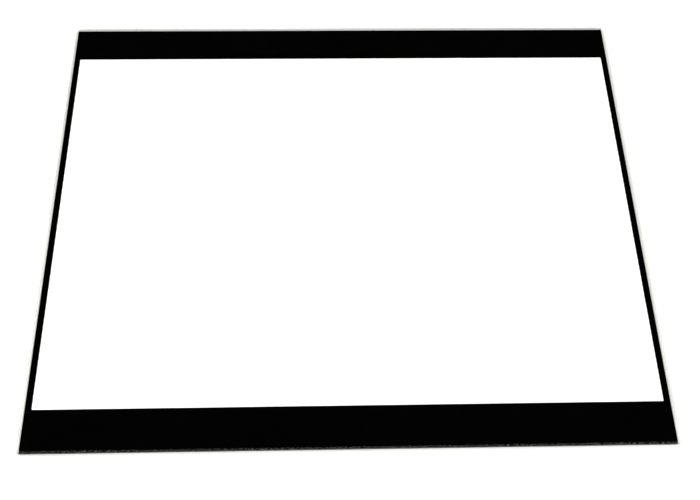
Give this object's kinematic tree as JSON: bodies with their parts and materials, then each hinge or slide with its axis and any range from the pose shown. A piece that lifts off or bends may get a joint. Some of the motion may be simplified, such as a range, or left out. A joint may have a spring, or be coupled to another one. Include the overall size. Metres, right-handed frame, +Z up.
{
  "type": "oven door inner glass",
  "caption": "Flat rectangular pane of clear toughened glass with a pencil-ground edge and a black enamel border printed on one face, the inner window of an oven door.",
  "frame": {"origin": "centre of the enamelled underside, on the surface that the pane lies on", "axes": "+X along the pane's width, +Y from the near edge to the far edge (the pane's height in the door), +Z up out of the plain face"},
  "size_m": [0.5, 0.41, 0.004],
  "materials": {
    "clear_glass": "polished faces, fine-ground edge",
    "black_enamel": "fired ceramic enamel, semi-gloss"
  },
  "bodies": {
    "root": {"glass_pane": "clear_glass", "enamel_border": "black_enamel"}
  },
  "joints": []
}
